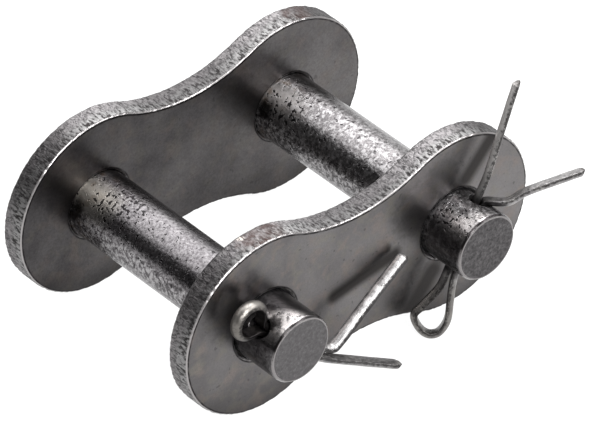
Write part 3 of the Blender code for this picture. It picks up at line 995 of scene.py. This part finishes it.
# %% The wire's section: a half circle on its flat, with its corners taken off
def wire_section(tree, given):
    half_turn = add(tree, "GeometryNodeCurveArc", {
        "Resolution": 21, "Radius": 1.0, "Start Angle": -math.pi / 2, "Sweep Angle": math.pi}, mode="RADIUS")
    half_width = where(tree, given["Width"], 0.5)
    size = add(tree, "ShaderNodeCombineXYZ", {"X": given["Thickness"], "Y": half_width, "Z": 1.0}).outputs[0]
    section = add(tree, "GeometryNodeTransform", {"Geometry": half_turn.outputs["Curve"], "Scale": size})
    section = add(tree, "GeometryNodeSetSplineCyclic", {"Geometry": section.outputs[0], "Cyclic": True})
    section = add(tree, "GeometryNodeFilletCurve", {
        "Curve": section.outputs[0], "Count": 3, "Radius": given["Corner"],
        "Limit Radius": True}, mode="POLY")
    across = add(tree, "ShaderNodeMath", {0: read_corners(tree)["Y"]}, operation="ABSOLUTE").outputs[0]
    return write_on(tree, section.outputs[0], corner=combine(tree, "DIVIDE", across, half_width))


# %% A tree that draws half-round wire along a route
TIP_LENGTH = 0.5 * MM
CUT_LENGTH = 0.8 * MM
DENT_SIZE_MM = 1.6


def wire_tree():
    tree, given = shape_tree("draw half-round wire", {
        "Width": "Float", "Thickness": "Float", "Corner": "Float", "Tip": "Float", "Nick Depth": "Float"})
    route = add(tree, "GeometryNodeSetCurveNormal", {"Curve": given["Geometry"]}, mode="Z_UP").outputs[0]
    section = wire_section(tree, given)
    gone = add(tree, "GeometryNodeSplineParameter").outputs["Length"]
    total = add(tree, "GeometryNodeSplineLength").outputs["Length"]
    nearest = combine(tree, "MINIMUM", gone, combine(tree, "SUBTRACT", total, gone))
    taper = where(tree, (nearest, 0.0, TIP_LENGTH, given["Tip"], 1.0))
    route = write_on(tree, route, cut=where(tree, (nearest, CUT_LENGTH, 0.0)))
    swept = add(tree, "GeometryNodeCurveToMesh", {
        "Curve": route, "Profile Curve": section, "Scale": taper, "Fill Caps": True}).outputs[0]
    place = add(tree, "GeometryNodeInputPosition").outputs[0]
    dents = add(tree, "ShaderNodeTexNoise", {"Vector": place, "Scale": marks(DENT_SIZE_MM)}).outputs[0]
    sunk = where(tree, (dents, 0.4, 0.7), given["Nick Depth"], -1.0)
    close_tree(tree, push_out(tree, swept, sunk), cotter_wire)
    return tree


# %% Bend both cotters
WIRE_CORNER = 0.12 * MM
WIRE_TIP = 0.5
NICK_DEPTH = 0.015 * MM
drawing = wire_tree()


def make_cotter(name, place, path):
    route = draw(name + "_route", [path], False)
    route.matrix_world = place
    cotter = run_tree(name, route, drawing, {
        "Width": WIRE_WIDTH, "Thickness": WIRE_THICKNESS, "Corner": WIRE_CORNER, "Tip": WIRE_TIP,
        "Nick Depth": NICK_DEPTH})
    smooth_under(cotter, 40)
    return cotter


left_cotter = make_cotter(
    "left_cotter_skin", shank_place(-PITCH / 2, LEFT_HOLE_ANGLE, 0),
    cotter_path(LEFT_LONG_LEG, LEFT_EYE, LEFT_SHORT_LEG))
right_cotter = make_cotter(
    "right_cotter_skin", shank_place(PITCH / 2, RIGHT_HOLE_ANGLE, RIGHT_COTTER_TURN),
    cotter_path(RIGHT_LONG_LEG, RIGHT_EYE, RIGHT_SHORT_LEG))

# %% [markdown]
# ## What stands for what
#
# Each skin takes the place of the plain piece of the same name. All of them ride on the
# one body, because nothing on a connecting link moves once its cotters are spread.

# %% Hide the plain pieces, and put the skins on the body
skins = {
    "rear_plate": (rear_skin, "plate_steel"),
    "cover_plate": (cover_skin, "plate_steel"),
    "left_pin": (left_pin, "pin_steel"),
    "right_pin": (right_pin, "pin_steel"),
    "left_cotter": (left_cotter, "cotter_wire"),
    "right_cotter": (right_cotter, "cotter_wire"),
}
for node, (skin, slot) in skins.items():
    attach(skin, "root")
    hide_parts(node)
for helper in (edge_profile, pin_profile, drill_profile):
    bpy.data.objects.remove(helper, do_unlink=True)
print("skins:", ", ".join(skins))

# %% [markdown]
# ## The table
#
# The photograph has a pure white ground without a shadow. A sheet of pale paper that gives
# off light of its own stays white to the eye, and it lights the steel softly from below.

# %% A pale table
TABLE_REACH = 1.5
table = bpy.data.meshes.new("table")
shape = bmesh.new()
bmesh.ops.create_grid(shape, x_segments=1, y_segments=1, size=TABLE_REACH)
bmesh.ops.translate(shape, verts=shape.verts, vec=(0, 0, FLOOR_Z))
shape.to_mesh(table)
shape.free()
floor = bpy.data.objects.new("table", table)
bpy.context.scene.collection.objects.link(floor)
paper = bpy.data.materials.new("pale_paper")
paper.use_nodes = True
surface = paper.node_tree.nodes["Principled BSDF"]
surface.inputs["Base Color"].default_value = colour("#5a5a5a")
surface.inputs["Roughness"].default_value = 0.9
surface.inputs["Emission Color"].default_value = colour("#ffffff")
surface.inputs["Emission Strength"].default_value = 0.95
table.materials.append(paper)
print(f"table at {FLOOR_Z / MM:.2f} mm")

# %% [markdown]
# ## The light
#
# Steel has no colour of its own to speak of: it shows what stands round it. The room has a
# soft bright part above and behind, which the pins show as their bright bands, and a milder
# one on the right. The rest is dim, and gives them their dark bands. Three small lamps add
# the sharper glints.

# %% A room in two soft parts: direction, where it starts and is full, and how dim and bright
ROOM = {
    "above and behind": ((0.16, 0.48, 0.86), 0.63, 0.945, 0.03, 3.4),
    "on the right": ((0.80, 0.45, 0.40), 0.45, 0.85, 0.0, 1.1),
}
world = bpy.data.worlds.new("studio")
bpy.context.scene.world = world
world.use_nodes = True
sky = world.node_tree
towards = add(sky, "ShaderNodeTexCoord").outputs["Generated"]
glows = []
for direction, start, full, dim, bright in ROOM.values():
    facing = add(sky, "ShaderNodeVectorMath", {
        0: towards, 1: Vector(direction).normalized()}, operation="DOT_PRODUCT").outputs["Value"]
    glows.append(add(sky, "ShaderNodeMapRange", {
        "Value": facing, "From Min": start, "From Max": full, "To Min": dim, "To Max": bright},
        interpolation_type="SMOOTHSTEP").outputs[0])
sky.nodes["Background"].inputs["Color"].default_value = (1, 1, 1, 1)
sky.links.new(combine(sky, "ADD", *glows), sky.nodes["Background"].inputs["Strength"])
print("bright parts of the room:", ", ".join(ROOM))

# %% Three small lamps: direction, size in metres, and power
LAMPS = {
    "key": ((0.52, -0.62, 0.59), 0.14, 1.0),
    "front": ((-0.2, -0.78, 0.58), 0.2, 2.5),
    "top": ((0.35, -0.1, 0.93), 0.15, 1.5),
}
LAMP_DISTANCE = 0.45
for name, (direction, size, power) in LAMPS.items():
    lamp = bpy.data.lights.new(name, "AREA")
    lamp.shape = "SQUARE"
    lamp.size = size
    lamp.energy = power
    thing = bpy.data.objects.new(name, lamp)
    bpy.context.scene.collection.objects.link(thing)
    aim = Vector(direction).normalized()
    facing = aim.to_track_quat("Z", "Y").to_matrix().to_4x4()
    thing.matrix_world = Matrix.Translation(aim * LAMP_DISTANCE) @ facing
print("lamps:", ", ".join(LAMPS))

# %% [markdown]
# ## The camera
#
# It looks down at the link from the front left with a long lens, as the photograph does.
# Its place is given as what it aims at, two angles and a distance, because those can be
# changed one at a time.

# %% The camera
AIM = Vector((0.863, -22.560, 1.575)) * MM
AZIMUTH = math.radians(-41.668)
ELEVATION = math.radians(38.180)
ROLL = math.radians(0.679)
DISTANCE = 953.26 * MM
back = Vector((
    math.sin(AZIMUTH) * math.cos(ELEVATION), -math.cos(AZIMUTH) * math.cos(ELEVATION), math.sin(ELEVATION)))
level = Vector((math.cos(AZIMUTH), math.sin(AZIMUTH), 0))
upright = back.cross(level)
right = level * math.cos(ROLL) + upright * math.sin(ROLL)
up = back.cross(right)
lens = bpy.data.cameras.new("camera")
lens.sensor_width = 36
lens.lens = 452.62
lens.clip_start = 0.05
camera = bpy.data.objects.new("camera", lens)
bpy.context.scene.collection.objects.link(camera)
camera.matrix_world = (
    Matrix.Translation(AIM + back * DISTANCE) @ Matrix((right, up, back)).transposed().to_4x4())
bpy.context.scene.camera = camera
print(f"camera {DISTANCE:.3f} m away, lens {lens.lens:.0f} mm")

# %% [markdown]
# ## Measure and finish
#
# The box of the plain pieces, measured before the skins were made, is printed. The
# skins have to stay inside the box of the plain pieces.

# %% Print the box of the plain pieces
print("plain pieces:", [[round(v / MM, 2) for v in corner] for corner in cad_box])
